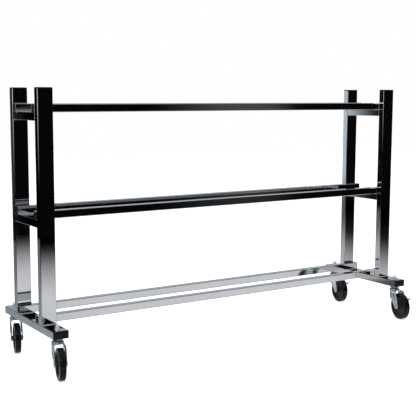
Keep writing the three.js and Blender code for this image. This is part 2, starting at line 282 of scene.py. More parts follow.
chrome = metal("chrome", (0.66, 0.665, 0.68), (0.61, 0.615, 0.63), roughness=(0.035, 0.075),
               wave=0.00012, grain=0.00001, grain_stretch=(1, 1, 0.05))
weld_chrome = metal("weld_chrome", (0.68, 0.65, 0.6), (0.55, 0.53, 0.5), roughness=(0.12, 0.25),
                    wave=0.0001, grain=0.00004)
nut_chrome = metal("nut_chrome", (0.72, 0.86, 0.9), (0.86, 0.9, 0.89), roughness=(0.05, 0.1),
                   wave=0.0002, grain=0.00001, metallic=0.68)
zinc = metal("zinc", (0.42, 0.58, 0.61), (0.78, 0.82, 0.81), roughness=(0.06, 0.16),
             wave=0.0007, grain=0.00003, metallic=0.84, wave_scale=34)
# A darker copy of the zinc, with painted shade for the stem, the races and the balls, which sit in the shade
# between the crown and the frame
painted_shade_zinc = metal("painted_shade_zinc", (0.26, 0.38, 0.4), (0.5, 0.56, 0.56), roughness=(0.08, 0.2),
                  wave=0.0003, grain=0.00003, metallic=0.9, wave_scale=34)
black_plastic = moulded("black_plastic", (0.006, 0.005, 0.007), (0.01, 0.009, 0.011),
                        roughness=(0.3, 0.42), ior=1.22, grain_scale=1600, grain=0.00004)
tyre_rubber = moulded("tyre_rubber", (0.003, 0.003, 0.0036), (0.007, 0.007, 0.008),
                      roughness=(0.12, 0.22), ior=1.27, grain_scale=1100, grain=0.00003, sheen=0.22)
hub_plastic = moulded("hub_plastic", (0.012, 0.012, 0.013), (0.018, 0.018, 0.019),
                      roughness=(0.3, 0.42), ior=1.3, grain_scale=1400, grain=0.00004)


# Pieces from points
def make_piece(name, points, faces, material, matrix, sharp=32.0):
    """A mesh from points in millimetres, put in place by a matrix in metres, with crisp flats."""
    mesh = bpy.data.meshes.new(name)
    mesh.from_pydata([matrix @ (Vector(point) * MM) for point in points], [], faces)
    mesh.validate()
    mesh.materials.append(material)
    mesh.shade_smooth()
    mesh.set_sharp_from_angle(angle=math.radians(sharp))
    piece = bpy.data.objects.new(name, mesh)
    bpy.context.scene.collection.objects.link(piece)
    normals = piece.modifiers.new("flat_normals", "WEIGHTED_NORMAL")
    normals.keep_sharp = True
    normals.weight = 100
    return piece


def fit(piece, body, slot, *nodes):
    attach(piece, body)
    if nodes:
        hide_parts(*nodes)
    return piece


def soften(piece, width):
    """Breaks the edges of a piece, ahead of its normals."""
    bevel = piece.modifiers.new("edges", "BEVEL")
    bevel.width = width * MM
    bevel.segments = 2
    bevel.limit_method = "ANGLE"
    bevel.angle_limit = math.radians(40)
    piece.modifiers.move(len(piece.modifiers) - 1, 0)


def clamp(share):
    return min(max(share, 0.0), 1.0)


def smooth(share):
    return share * share * (3 - 2 * share)


def quarter_turn(step, steps):
    """The angle after some of the equal steps of a quarter turn."""
    return math.pi / 2 * step / steps


def rectangle_ring(width, depth, inset, corner, z):
    """A rounded rectangle, drawn in by the inset: anticlockwise from the far end of its right side."""
    steps = 6
    half_width, half_depth = (width - 2 * inset) / 2, (depth - 2 * inset) / 2
    points = []
    for turn, (side_x, side_y) in enumerate([(1, 1), (-1, 1), (-1, -1), (1, -1)]):
        middle_x, middle_y = side_x * (half_width - corner), side_y * (half_depth - corner)
        for i in range(steps + 1):
            angle = (turn + i / steps) * math.pi / 2
            points.append((middle_x + corner * math.cos(angle), middle_y + corner * math.sin(angle), z))
    return points


def loft(rings, looped=False):
    """Joins rings of equally many points: the last ring meets the first, or a face closes each end."""
    count, total = len(rings[0]), len(rings)
    points = [point for ring in rings for point in ring]
    faces = []
    for r in range(total if looped else total - 1):
        first, second = r * count, (r + 1) % total * count
        for i in range(count):
            j = (i + 1) % count
            faces.append((first + i, first + j, second + j, second + i))
    if not looped:
        faces.append(tuple(reversed(range(count))))
        faces.append(tuple((total - 1) * count + i for i in range(count)))
    return points, faces


def tube(length, width, depth):
    """A hollow tube along Z from 0, with its sawn edges just broken."""
    outside = [(TUBE_EDGE, 0), (0, TUBE_EDGE), (0, length - TUBE_EDGE), (TUBE_EDGE, length)]
    rings = [rectangle_ring(width, depth, inset, TUBE_CORNER - inset, z) for inset, z in outside]
    for inset, z in reversed(outside):
        wall = TUBE_WALL - inset
        rings.append(rectangle_ring(width, depth, wall, TUBE_CORNER - wall, z))
    return loft(rings, looped=True)


def turned(profile, segments):
    """A body turned about Z from (radius, height) pairs: a ring, or a solid from axis to axis."""
    rings, points, faces = [], [], []
    for radius, height in profile:
        start = len(points)
        if radius == 0:
            rings.append([start])
            points.append((0, 0, height))
        else:
            rings.append(list(range(start, start + segments)))
            for i in range(segments):
                angle = 2 * math.pi * i / segments
                points.append((radius * math.cos(angle), radius * math.sin(angle), height))
    looped = profile[0][0] > 0
    for r in range(len(rings) if looped else len(rings) - 1):
        first, second = rings[r], rings[(r + 1) % len(rings)]
        for i in range(segments):
            j = (i + 1) % segments
            if len(first) == 1:
                faces.append((first[0], second[j], second[i]))
            elif len(second) == 1:
                faces.append((first[i], first[j], second[0]))
            else:
                faces.append((first[i], first[j], second[j], second[i]))
    return points, faces


def rounded(profile, radius, steps=4, closed=False):
    """Rounds the corners of a profile by up to a radius. An open profile keeps its two ends."""
    count = len(profile)
    out = []
    for i, corner in enumerate(profile):
        if not closed and i in (0, count - 1):
            out.append(corner)
            continue
        tip = Vector(corner)
        before = Vector(profile[i - 1]) - tip
        after = Vector(profile[(i + 1) % count]) - tip
        reach = min(radius, before.length * 0.45, after.length * 0.45)
        start, end = tip + before.normalized() * reach, tip + after.normalized() * reach
        for k in range(steps + 1):
            share = k / steps
            spot = start * (1 - share) ** 2 + tip * 2 * share * (1 - share) + end * share ** 2
            out.append((spot.x, spot.y))
    return out


def mirrored(half):
    """A whole profile from the half that lies below zero."""
    return half + [(radius, -height) for radius, height in reversed(half)]


def along_x(mesh_data):
    """Turns what stands along Z so that it lies along X."""
    points, faces = mesh_data
    return [(z, y, -x) for x, y, z in points], faces


def shifted(mesh_data, dx=0.0, dy=0.0, dz=0.0):
    points, faces = mesh_data
    return [(x + dx, y + dy, z + dz) for x, y, z in points], faces


def merged(*several):
    points, faces = [], []
    for more_points, more_faces in several:
        start = len(points)
        points.extend(more_points)
        faces.extend(tuple(start + i for i in face) for face in more_faces)
    return points, faces


def hexagon_radius(flats, angle):
    """How far the side of a hexagon lies from its middle, at an angle."""
    sixth = math.pi / 3
    return flats / 2 / math.cos((angle + sixth / 2) % sixth - sixth / 2)


def hexagon_nut(flats, bottom, top, bore):
    """A bored hexagon with its upper corners turned off at a shallow angle, standing along Z."""
    count = 48
    slope = math.tan(math.radians(30))
    flat = flats / 2 * 0.985
    rings = [[], [], [], [], []]
    for i in range(count):
        angle = 2 * math.pi * i / count
        side = hexagon_radius(flats, angle)
        shoulder = top - (side - flat) * slope
        places = [(bore, top), (bore, bottom), (side, bottom), (side, shoulder), (flat, top)]
        for ring, (radius, height) in zip(rings, places):
            ring.append((radius * math.cos(angle), radius * math.sin(angle), height))
    return loft(rings, looped=True)


def folded_sheet(rows, thickness, columns, relief):
    """A folded sheet: each row has a place (across, height) and a span (back, front) of its reach.

    The relief gives how far the sheet is pressed in at a reach and a place.
    """
    count = len(rows)
    places = [Vector(place) for place, span in rows]
    normals = []
    for i in range(count):
        run = (places[min(i + 1, count - 1)] - places[max(i - 1, 0)]).normalized()
        normals.append(Vector((-run.y, run.x)))
    points = []
    for side in (0.5, -0.5):
        for i, (place, (back, front)) in enumerate(rows):
            for column in range(columns + 1):
                reach = back + (front - back) * column / columns
                push = side * thickness - relief(reach, place)
                spot = places[i] + normals[i] * push
                points.append((spot.x, -reach, spot.y))
    width = columns + 1
    layer = count * width
    faces = []
    for i in range(count - 1):
        for column in range(columns):
            over = i * width + column
            faces.append((over, over + 1, over + width + 1, over + width))
            under = over + layer
            faces.append((under, under + width, under + width + 1, under + 1))
        for column in (0, columns):
            over = i * width + column
            quad = (over, over + width, over + width + layer, over + layer)
            faces.append(quad if column == 0 else tuple(reversed(quad)))
    for i in (0, count - 1):
        for column in range(columns):
            over = i * width + column
            quad = (over, over + layer, over + layer + 1, over + 1)
            faces.append(quad if i == 0 else tuple(reversed(quad)))
    return points, faces


# The steel frame, and how what stands along Z is turned to face each way
TURNS = {
    "up": Matrix.Identity(4),
    "front": Matrix.Rotation(math.pi / 2, 4, "X"),
    "rear": Matrix.Rotation(-math.pi / 2, 4, "X"),
    "left": Matrix.Rotation(-math.pi / 2, 4, "Y"),
    "right": Matrix.Rotation(math.pi / 2, 4, "Y"),
}


def node_centre(node):
    low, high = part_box(node)
    return (low + high) / 2


def tube_piece(node, way, width, depth):
    """A tube in place of a node, which runs the given way."""
    low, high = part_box(node)
    length = max(high[i] - low[i] for i in range(3)) / MM
    data = shifted(tube(length, width, depth), dz=-length / 2)
    place = Matrix.Translation(node_centre(node)) @ TURNS[way]
    fit(make_piece("tube_" + node, *data, chrome, place), "frame", "chrome", node)


def cap_piece(node, flange, way):
    """A plastic cap in place of a node, with its flange facing the given way."""
    half = (flange + CAP_PLUG_LENGTH) / 2
    seat = half - flange
    plug = TUBE_WALL + CAP_CLEARANCE
    plug_corner = TUBE_CORNER - TUBE_WALL
    sizes = [(plug + 2, plug_corner, -half), (plug, plug_corner, -half), (plug, plug_corner, seat)]
    sizes.append((0, TUBE_CORNER, seat))
    edge = min(CAP_EDGE_ROUND, flange * 0.4)
    edge_steps = 4
    for i in range(edge_steps + 1):
        angle = quarter_turn(i, edge_steps)
        z = half - CAP_DOME_RISE - edge * (1 - math.sin(angle))
        sizes.append((edge * (1 - math.cos(angle)), TUBE_CORNER, z))
    sizes += [(5, TUBE_CORNER, half - 0.1), (9, TUBE_CORNER, half)]
    rings = [rectangle_ring(TUBE_WIDTH, TUBE_DEPTH, inset, corner, z) for inset, corner, z in sizes]
    place = Matrix.Translation(node_centre(node)) @ TURNS[way]
    piece = make_piece("moulded_" + node, *loft(rings), black_plastic, place, sharp=50)
    fit(piece, "frame", "black_plastic", node)


def rail_plug(node, side):
    """A plug pushed into one end of a long rail, just inside the tube."""
    low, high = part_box(node)
    end = {"left": low.x, "right": high.x}[side]
    centre = node_centre(node)
    size = RAIL_SIZE - 2 * TUBE_WALL - RAIL_PLUG_PLAY
    rings = [rectangle_ring(size, size, inset, RAIL_PLUG_CORNER, z) for inset, z in RAIL_PLUG_RINGS]
    place = Matrix.Translation((end, centre.y, centre.z)) @ TURNS[side]
    piece = make_piece("plug_%s_%s" % (node, side), *loft(rings), black_plastic, place, sharp=40)
    fit(piece, "frame", "black_plastic")


for side in SIDES:
    tube_piece("base_rail_" + side, "rear", TUBE_WIDTH, TUBE_DEPTH)
    for tier in TIERS[1:]:
        tube_piece("crossbar_%s_%s" % (tier, side), "rear", TUBE_WIDTH, TUBE_DEPTH)
    for end in ENDS:
        tube_piece("post_%s_%s" % (end, side), "up", TUBE_WIDTH, TUBE_DEPTH)
        cap_piece("post_cap_%s_%s" % (end, side), POST_CAP_FLANGE, "up")
        cap_piece("base_cap_%s_%s" % (end, side), BASE_CAP_FLANGE, end)
for tier in TIERS:
    for end in ENDS:
        rail = "rail_%s_%s" % (tier, end)
        tube_piece(rail, "right", RAIL_SIZE, RAIL_SIZE)
        for side in SIDES:
            rail_plug(rail, side)


# Weld beads
def bead(start, end, first, second, size):
    """A rippled fillet along a seam between two walls, whose outward normals are given."""
    start, end = Vector(start), Vector(end)
    first, second = Vector(first), Vector(second)
    if first.cross(second).dot(end - start) < 0:
        start, end = end, start
    run = end - start
    steps = max(int(run.length / BEAD_STEP), 6)
    across = 7
    rings = []
    for i in range(steps + 1):
        share = i / steps
        taper = 0.05
        if 0 < i < steps:
            taper = math.sin(math.pi * min(share, 1 - share, BEAD_TAPER) / (2 * BEAD_TAPER)) ** 0.5
        ripple = 1 + BEAD_WAVE * math.cos(2 * math.pi * i * BEAD_STEP / BEAD_RIPPLE)
        ripple += BEAD_WANDER * math.sin(i * 1.7)
        reach = size * taper * ripple
        centre = start + run * share
        ring = [centre - (first + second) * BEAD_ROOT]
        for k in range(across):
            angle = quarter_turn(k, across - 1)
            swell = 1 - BEAD_HOLLOW + BEAD_HOLLOW * abs(math.cos(2 * angle))
            ring.append(centre + (first * math.cos(angle) + second * math.sin(angle)) * reach * swell)
        rings.append([tuple(point) for point in ring])
    return loft(rings)


def side_welds(sign):
    """All the seams of one end frame, from the middle of the cart, in millimetres."""
    up, down, inwards = (0, 0, 1), (0, 0, -1), (-sign, 0, 0)
    flush = TUBE_CORNER
    outer_x = (rail_high.x - rail_low.x) / MM / 2
    inner_x = outer_x - TUBE_WIDTH
    edge, near, far = sign * inner_x, sign * (inner_x + flush), sign * (outer_x - flush)
    rail_gap = node_centre("rail_low_rear").y - node_centre("rail_low_front").y
    rail_inner = rail_gap / MM / 2 - RAIL_SIZE / 2
    post_inner = rail_inner + RAIL_SIZE
    post_outer = post_inner + TUBE_DEPTH
    beads = []
    for facing in (-1, 1):
        rail_y, post_y, outer_y = facing * rail_inner, facing * post_inner, facing * post_outer
        under_start, under_end = facing * (rail_inner + flush), facing * (post_inner - flush)
        outwards, across = (0, facing, 0), (0, -facing, 0)
        beads.append(bead((near, outer_y, BASE_TOP), (far, outer_y, BASE_TOP), outwards, up, FOOT_BEAD))
        for tier in TIERS:
            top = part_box("rail_%s_front" % tier)[1].z / MM
            bottom = top - RAIL_SIZE
            beads += [
                bead((edge, post_y, bottom + flush), (edge, post_y, top - flush), inwards, across, RAIL_BEAD),
                bead((edge, under_start, bottom), (edge, under_end, bottom), inwards, down, RAIL_BEAD),
                bead((near, rail_y, bottom), (far, rail_y, bottom), across, up, RAIL_BEAD),
            ]
            if tier == "low":
                continue
            low = bottom - TUBE_DEPTH
            start, end = (edge, post_y, low + flush), (edge, post_y, bottom - flush)
            beads += [
                bead((near, post_y, low), (far, post_y, low), across, down, CROSSBAR_BEAD),
                bead(start, end, inwards, across, SHORT_BEAD),
            ]
    return merged(*beads)


for side, sign in SIDES.items():
    place = Matrix.Translation((CART_X, CART_Y, 0))
    welds = make_piece("weld_beads_" + side, *side_welds(sign), weld_chrome, place, sharp=70)
    fit(welds, "frame", "chrome")


# Casters
JOINTS = {joint["name"]: joint for joint in frame["joints"]}


def caster_place(corner):
    """The caster's own frame: X runs along the axle, and -Y from the swivel axis to the axle."""
    stem = JOINTS["swivel_" + corner]["pos_m"]
    axle = Vector(JOINTS["wheel_" + corner]["axis"])
    back = Vector((0, 0, 1)).cross(axle)
    place = Matrix.Identity(4)
    for row in range(3):
        place[row][0], place[row][1] = axle[row], back[row]
    place[0][3], place[1][3] = stem[0], stem[1]
    return place


def leg_edge(z, reach, height, turn):
    """The edge of a leg at a height: straight down from a corner, and then round the leg's tip."""
    along, up = reach - SWIVEL_TRAIL, height - WHEEL_RADIUS
    angle = math.atan2(up, along) + turn * math.acos(FORK_TIP_RADIUS / math.hypot(along, up))
    touch_reach = SWIVEL_TRAIL + FORK_TIP_RADIUS * math.cos(angle)
    touch_height = WHEEL_RADIUS + FORK_TIP_RADIUS * math.sin(angle)
    if z <= touch_height:
        return SWIVEL_TRAIL - turn * math.sqrt(max(FORK_TIP_RADIUS ** 2 - (z - WHEEL_RADIUS) ** 2, 0.0))
    share = (z - touch_height) / (height - touch_height)
    return touch_reach + (reach - touch_reach) * share


def leg_span(z):
    """How far back and forward a fork's leg reaches at a height."""
    heel = CROWN_TOP - FORK_HEEL_DROP
    shoulder = CROWN_TOP - FORK_SHOULDER_DROP
    if z >= shoulder:
        back = -FORK_BACK_REACH
    elif z >= heel:
        share = (shoulder - z) / (shoulder - heel)
        back = -FORK_BACK_REACH + (FORK_HEEL_REACH + FORK_BACK_REACH) * share ** 2
    else:
        back = leg_edge(z, FORK_HEEL_REACH, heel, 1)
    return back, leg_edge(z, FORK_FRONT_REACH, CROWN_TOP, -1)


def crown_span(across):
    """How far back and forward a fork's crown reaches, with a rounded notch in its front."""
    offset = abs(across)
    flat = CROWN_NOTCH_HALF - CROWN_NOTCH_CORNER
    front = CROWN_NOSE_REACH
    if offset > CROWN_NOTCH_HALF:
        front = FORK_FRONT_REACH
    elif offset > flat:
        front += CROWN_NOTCH_CORNER - math.sqrt(max(CROWN_NOTCH_CORNER ** 2 - (offset - flat) ** 2, 0))
    return -FORK_BACK_REACH, front


def fork_relief(reach, place):
    """The pressed panel down each leg, which leaves a raised rim along the edges."""
    z = place[1]
    back, front = leg_span(z)
    inside = min(reach - back, front - reach)
    foot = clamp((z - WHEEL_RADIUS - PANEL_FOOT) / PANEL_FOOT_SLOPE)
    head = clamp((CROWN_TOP - PANEL_HEAD - z) / PANEL_HEAD_SLOPE)
    return PANEL_DEPTH * smooth(clamp((inside - PANEL_RIM) / PANEL_SLOPE)) * (foot * head)


def fork_data():
    """The crown and both legs, folded from one sheet."""
    mid = FORK_SIDE - FORK_SHEET / 2
    bend = FORK_BEND - FORK_SHEET / 2
    crown_mid = CROWN_TOP - FORK_SHEET / 2
    straight = crown_mid - bend
    low = WHEEL_RADIUS - FORK_TIP_RADIUS
    tip_rows, leg_rows, bend_rows, notch_rows, columns = 8, 34, 6, 5, 22
    heights = [low + 0.02]
    for i in range(1, tip_rows + 1):
        heights.append(low + FORK_TIP_RADIUS * (1 - math.cos(quarter_turn(i, tip_rows))))
    for i in range(1, leg_rows + 1):
        heights.append(WHEEL_RADIUS + (straight - WHEEL_RADIUS) * i / leg_rows)
    side = [((-mid, z), leg_span(z)) for z in heights]
    for i in range(1, bend_rows + 1):
        angle = quarter_turn(i, bend_rows)
        z = straight + bend * math.sin(angle)
        side.append(((-mid + bend * (1 - math.cos(angle)), z), leg_span(z)))
    notch = -CROWN_NOTCH_HALF
    across = [notch - 0.05, notch + 0.05]
    for i in range(1, notch_rows + 1):
        across.append(notch + CROWN_NOTCH_CORNER * (1 - math.cos(quarter_turn(i, notch_rows))))
    side += [((x, crown_mid), crown_span(x)) for x in across]
    middle = [((0.0, crown_mid), crown_span(0.0))]
    other = [((-x, z), span) for (x, z), span in reversed(side)]
    return folded_sheet(side + middle + other, FORK_SHEET, columns, fork_relief)


def fork_race_data():
    """The pressed lower race on the crown."""
    bore, rim = KING_PIN_RADIUS + RUNNING_GAP, LOWER_RACE_RADIUS
    profile = [
        (bore, CROWN_BOTTOM), (rim - 1.5, CROWN_BOTTOM), (rim, CROWN_BOTTOM + 1.2),
        (rim, CROWN_TOP + 1.5), (rim - 2.5, LOWER_RACE_TOP), (bore, LOWER_RACE_TOP),
    ]
    return turned(rounded(profile, 1.6, closed=True), segments=72)


def stem_data():
    """The king pin with its riveted head, the upper race and the stem, in one."""
    pin, head, race = KING_PIN_RADIUS, KING_PIN_HEAD_RADIUS, UPPER_RACE_RADIUS
    head_top = CROWN_BOTTOM - RUNNING_GAP
    head_bottom = head_top - KING_PIN_HEAD_HEIGHT
    stem_top = BASE_TOP + WASHER_THICKNESS + STEM_THREAD_IN_NUT
    profile = [
        (0, head_bottom), (head - 1.2, head_bottom), (head, head_bottom + 1.2), (head, head_top),
        (pin, head_top), (pin, UPPER_RACE_BOTTOM), (race - 2.2, UPPER_RACE_BOTTOM),
        (race, UPPER_RACE_BOTTOM + 2.4), (race, CASTER_HEIGHT - 0.8), (race - 0.8, CASTER_HEIGHT),
        (STEM_RADIUS, CASTER_HEIGHT), (STEM_RADIUS, stem_top - 1), (STEM_RADIUS - 1, stem_top), (0, stem_top),
    ]
    return turned(rounded(profile, 0.7, steps=3), segments=72)


def bearing_data():
    """A ring of separate balls between the races."""
    radius = BALL_DIAMETER / 2
    steps = 8
    arc = []
    for i in range(1, steps):
        angle = math.pi * i / steps
        arc.append((radius * math.sin(angle), -radius * math.cos(angle)))
    ball = turned([(0, -radius)] + arc + [(0, radius)], segments=14)
    balls = []
    for i in range(BALL_COUNT):
        angle = 2 * math.pi * i / BALL_COUNT
        x, y = BALL_CIRCLE_RADIUS * math.cos(angle), BALL_CIRCLE_RADIUS * math.sin(angle)
        balls.append(shifted(ball, x, y, BALL_BOTTOM + radius))
    return merged(*balls)


def cap_nut_data():
    """A washer, a hexagon nut on it, and the dome that closes the nut."""
    hex_top = WASHER_THICKNESS + CAP_NUT_HEX_HEIGHT
    dome_bottom = hex_top - 0.4
    dome_radius = CAP_NUT_FLATS / 2 - 0.25
    dome_steps = 12
    hole = STEM_RADIUS + 0.6
    bore = STEM_RADIUS + RUNNING_GAP
    depth = WASHER_THICKNESS + STEM_THREAD_IN_NUT + RUNNING_GAP
    washer = [(hole, 0), (WASHER_RADIUS, 0), (WASHER_RADIUS, WASHER_THICKNESS), (hole, WASHER_THICKNESS)]
    dome = [(0, depth), (bore, depth), (bore, dome_bottom), (dome_radius, dome_bottom)]
    for i in range(dome_steps):
        angle = quarter_turn(i, dome_steps)
        dome.append((dome_radius * math.cos(angle), hex_top + CAP_NUT_DOME_HEIGHT * math.sin(angle)))
    dome.append((0, hex_top + CAP_NUT_DOME_HEIGHT))
    nut = hexagon_nut(CAP_NUT_FLATS, WASHER_THICKNESS, hex_top, bore)
    ring = turned(rounded(washer, 0.5, closed=True), segments=64)
    return merged(ring, nut, turned(dome, segments=64))


def axle_rivet_data():
    """A hollow rivet whose two ends are rolled outwards over the legs."""
    bore, head = AXLE_BORE_RADIUS, AXLE_HEAD_RADIUS
    seat = FORK_SIDE + RUNNING_GAP
    end = seat + AXLE_HEAD_HEIGHT - 0.12
    rolled = [
        (bore, seat - 2.0), (bore + 0.15, end - 0.9), (bore + 0.7, end - 0.25), (bore + 1.5, end),
        (head - 1.4, end - 0.1), (head - 0.45, end - 0.45), (head, end - 0.95), (head - 0.15, seat),
        (AXLE_RADIUS, seat),
    ]
    return along_x(turned(mirrored([(radius, -x) for radius, x in rolled]), segments=48))


def axle_sleeve_data():
    end = FORK_INNER_WIDTH / 2 - RUNNING_GAP
    bore = AXLE_RADIUS + RUNNING_GAP
    profile = [(bore, -end), (SLEEVE_RADIUS, -end), (SLEEVE_RADIUS, end), (bore, end)]
    return along_x(turned(rounded(profile, 0.4, closed=True), segments=48))


def tyre_data():
    """A tyre with a groove in each side wall, rounded shoulders and a slightly raised tread."""
    inner = WHEEL_RADIUS - TYRE_THICKNESS
    wall, groove = -TYRE_HALF, -TYRE_HALF + 0.6
    half = [
        (inner, wall), (inner + 2.2, wall), (inner + 2.8, groove), (inner + 3.6, groove),
        (inner + 4.2, wall),
    ]
    rise = 0
    for bend, start, end, steps in TYRE_BENDS:
        rise += bend * (math.sin(math.radians(end)) - math.sin(math.radians(start)))
    radius, across = WHEEL_RADIUS - TREAD_RISE - rise, TYRE_HALF
    half.append((radius, -across))
    for bend, start, end, steps in TYRE_BENDS:
        for i in range(steps):
            before, after = (math.radians(start + (end - start) * k / steps) for k in (i, i + 1))
            radius += bend * (math.sin(after) - math.sin(before))
            across -= bend * (math.cos(before) - math.cos(after))
            half.append((radius, -across))
    half += [(WHEEL_RADIUS - 0.03, -0.7), (WHEEL_RADIUS, -0.35)]
    return along_x(turned(mirrored(half), segments=96))


def hub_data():
    """A boss and a rim, joined by a thin web."""
    rim_outer = WHEEL_RADIUS - TYRE_THICKNESS - RUNNING_GAP
    rim_inner = rim_outer - HUB_RIM_THICKNESS
    boss = FORK_INNER_WIDTH / 2 - HUB_END_GAP
    bore = SLEEVE_RADIUS + RUNNING_GAP
    fillet = -HUB_WEB_HALF - 2.5
    half = [
        (bore, -boss), (HUB_BOSS_RADIUS, -boss), (HUB_BOSS_RADIUS + 0.8, fillet),
        (HUB_BOSS_RADIUS + 4, -HUB_WEB_HALF), (rim_inner - 4, -HUB_WEB_HALF), (rim_inner, fillet),
        (rim_inner + 0.8, -HUB_RIM_HALF), (rim_outer, -HUB_RIM_HALF),
    ]
    return along_x(turned(rounded(mirrored(half), 1.4, closed=True), segments=96))


def brake_lever_data():
    """A flat arm whose foot end is folded outwards into a tab, from the pivot's own place."""
    mid = BRAKE_SHEET / 2
    top = BRAKE_ARM_RADIUS
    tip_top = BRAKE_ARM_TIP_HEIGHT - BRAKE_TAB_DROP
    round_end = -BRAKE_ARM_RADIUS * 0.9
    fold = -BRAKE_TAB_DROP + mid + BRAKE_FOLD
    tab_start = BRAKE_ARM_REACH - BRAKE_TAB_WIDTH
    end_x = BRAKE_TAB_LENGTH - BRAKE_TAB_RIM * 0.3
    end_z = BRAKE_TAB_RISE - BRAKE_TAB_DROP + mid
    arm_rows, fold_rows, tab_rows, columns = 26, 5, 18, 20

    def span(z):
        """How far back and forward the arm reaches at a height."""
        back = -math.sqrt(BRAKE_ARM_RADIUS ** 2 - max(z, round_end) ** 2)
        back += (tab_start - back) * clamp((z - round_end) / (fold - round_end))
        front = BRAKE_ARM_REACH * min((top - z) / (top - tip_top), 1)
        return back, max(front, back + 0.05)

    first = top - 0.3
    rows = []
    for i in range(arm_rows + 1):
        z = first - (first - fold) * i / arm_rows
        rows.append(((mid, z), span(z)))
    for i in range(1, fold_rows + 1):
        angle = quarter_turn(i, fold_rows)
        place = (mid + BRAKE_FOLD * (1 - math.cos(angle)), fold - BRAKE_FOLD * math.sin(angle))
        rows.append((place, (tab_start, BRAKE_ARM_REACH)))
    start_x, start_z = rows[-1][0]

    def cut(x):
        """How far the tab's rounded corners draw its sides in."""
        past = max(BRAKE_TAB_CORNER - (end_x - x), 0)
        return BRAKE_TAB_CORNER - math.sqrt(max(BRAKE_TAB_CORNER ** 2 - past ** 2, 0))

    def turned_rim(reach, place):
        """How far the rim of the tab is pressed down."""
        x = place[0]
        inside = min(reach - tab_start - cut(x), BRAKE_ARM_REACH - cut(x) - reach, end_x - x)
        along = clamp((x - start_x) / BRAKE_RIM_WIDTH)
        return BRAKE_TAB_RIM * smooth(clamp(1 - inside / BRAKE_RIM_WIDTH)) * along

    for i in range(1, tab_rows + 1):
        share = i / tab_rows
        x = start_x + (end_x - start_x) * share
        z = start_z + (end_z - start_z) * share
        rows.append(((x, z), (tab_start + cut(x), BRAKE_ARM_REACH - cut(x))))
    return folded_sheet(rows, BRAKE_SHEET, columns, turned_rim)


def rivet_data():
    """The brake lever's rivet, with a low dome on each end."""
    inside = -FORK_SHEET - RUNNING_GAP
    outside = BRAKE_SHEET + 2 * RUNNING_GAP
    head, tall = BRAKE_RIVET_HEAD_RADIUS, BRAKE_RIVET_HEAD_HEIGHT
    steps = 6
    dome = []
    for i in range(1, steps + 1):
        angle = quarter_turn(i, steps)
        dome.append((head * math.sin(angle), tall * (0.3 + 0.7 * math.cos(angle))))
    profile = [(0, inside - tall)] + [(radius, inside - rise) for radius, rise in dome]
    profile += [(head, inside), (BRAKE_PIVOT_RADIUS, inside), (BRAKE_PIVOT_RADIUS, outside), (head, outside)]
    profile += [(radius, outside + rise) for radius, rise in reversed(dome)] + [(0, outside + tall)]
    return along_x(turned(profile, segments=40))


def build_caster(corner):
    place = caster_place(corner)
    stem_place = Matrix.Translation((place[0][3], place[1][3], 0))
    swivel, wheel = "swivel_" + corner, "wheel_" + corner
    axle = place @ Matrix.Translation((0, -SWIVEL_TRAIL * MM, WHEEL_RADIUS * MM))

    def add(name, data, material, matrix, body, slot, nodes, sharp=32.0):
        piece = make_piece(name + "_" + corner, *data, material, matrix, sharp)
        return fit(piece, body, slot, *nodes)

    nut_place = stem_place @ Matrix.Translation((0, 0, BASE_TOP * MM))
    add("domed_nut", cap_nut_data(), nut_chrome, nut_place, "frame", "chrome", ["cap_nut_" + corner])
    # The stem, the balls and the fork's race take the zinc with painted shade
    add("stem_and_race", stem_data(), painted_shade_zinc, stem_place, "frame", "zinc_steel", ["stem_" + corner])
    add("bearing_balls", bearing_data(), painted_shade_zinc, stem_place, "frame", "zinc_steel", ["bearing_" + corner])
    fork = add("pressed_fork", fork_data(), zinc, place, swivel, "zinc_steel", ["fork_" + corner], sharp=50)
    soften(fork, FORK_EDGE)
    add("fork_race", fork_race_data(), painted_shade_zinc, place, swivel, "zinc_steel", [])
    add("rolled_rivet", axle_rivet_data(), zinc, axle, swivel, "zinc_steel", ["axle_rivet_" + corner])
    add("spacer_sleeve", axle_sleeve_data(), zinc, axle, swivel, "zinc_steel", ["axle_sleeve_" + corner])
    add("moulded_hub", hub_data(), hub_plastic, axle, wheel, "hub", ["hub_" + corner])
    add("rubber_tyre", tyre_data(), tyre_rubber, axle, wheel, "tyre", ["tyre_" + corner])
    if corner in BRAKED:
        pivot = place @ Matrix.Translation(
            (FORK_SIDE * MM, -BRAKE_PIVOT_REACH * MM, BRAKE_PIVOT_Z * MM))
        add("rivet", rivet_data(), zinc, pivot, swivel, "zinc_steel", ["brake_rivet_" + corner])
        lever_place = pivot @ Matrix.Translation((RUNNING_GAP * MM, 0, 0))
        lever = add("pressed_lever", brake_lever_data(), zinc, lever_place, "brake_" + corner,
                    "zinc_steel", ["brake_lever_" + corner], sharp=50)
        soften(lever, BRAKE_EDGE)


for corner in CORNERS:
    build_caster(corner)


# The camera's place from the middle of the cart in metres, its angles in degrees and its lens
CAMERA_PLACE = (-1.79961, -2.69161, 0.86865)
CAMERA_YAW = -33.0597
CAMERA_PITCH = -7.2017
CAMERA_ROLL = 0.2053
CAMERA_LENS = 77.82


